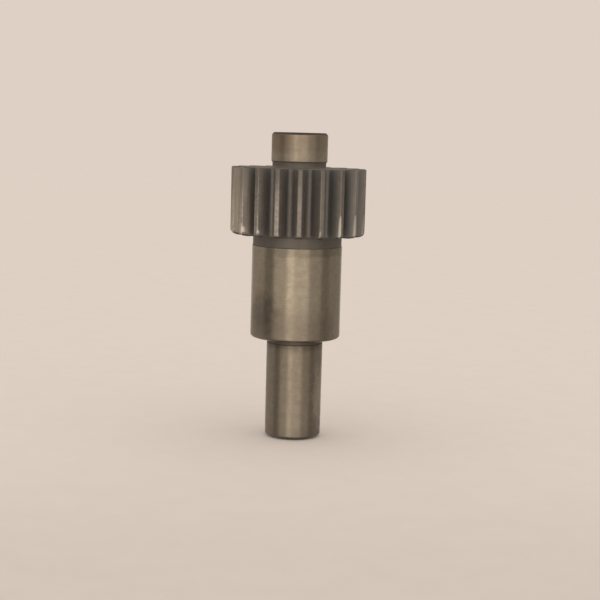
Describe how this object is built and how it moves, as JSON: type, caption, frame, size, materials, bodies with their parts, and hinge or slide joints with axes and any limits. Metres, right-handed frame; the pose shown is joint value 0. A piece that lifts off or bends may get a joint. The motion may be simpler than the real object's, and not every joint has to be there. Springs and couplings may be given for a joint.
{
  "type": "countershaft",
  "caption": "One-piece countershaft: a spur pinion on a stepped shaft with ground journals at both sides, turned and hobbed from steel bar.",
  "frame": {"origin": "centre of the long journal's end face, on the shaft's axis", "axes": "+Z along the shaft from the long journal to the short one, and -Y through the middle of a tooth"},
  "size_m": [0.042, 0.0418, 0.0951],
  "materials": {
    "steel": "ground journals with fine turning marks, dull hobbed teeth, a light brown patina and polished wear on the teeth"
  },
  "bodies": {
    "root": {"countershaft": "steel"}
  },
  "joints": []
}
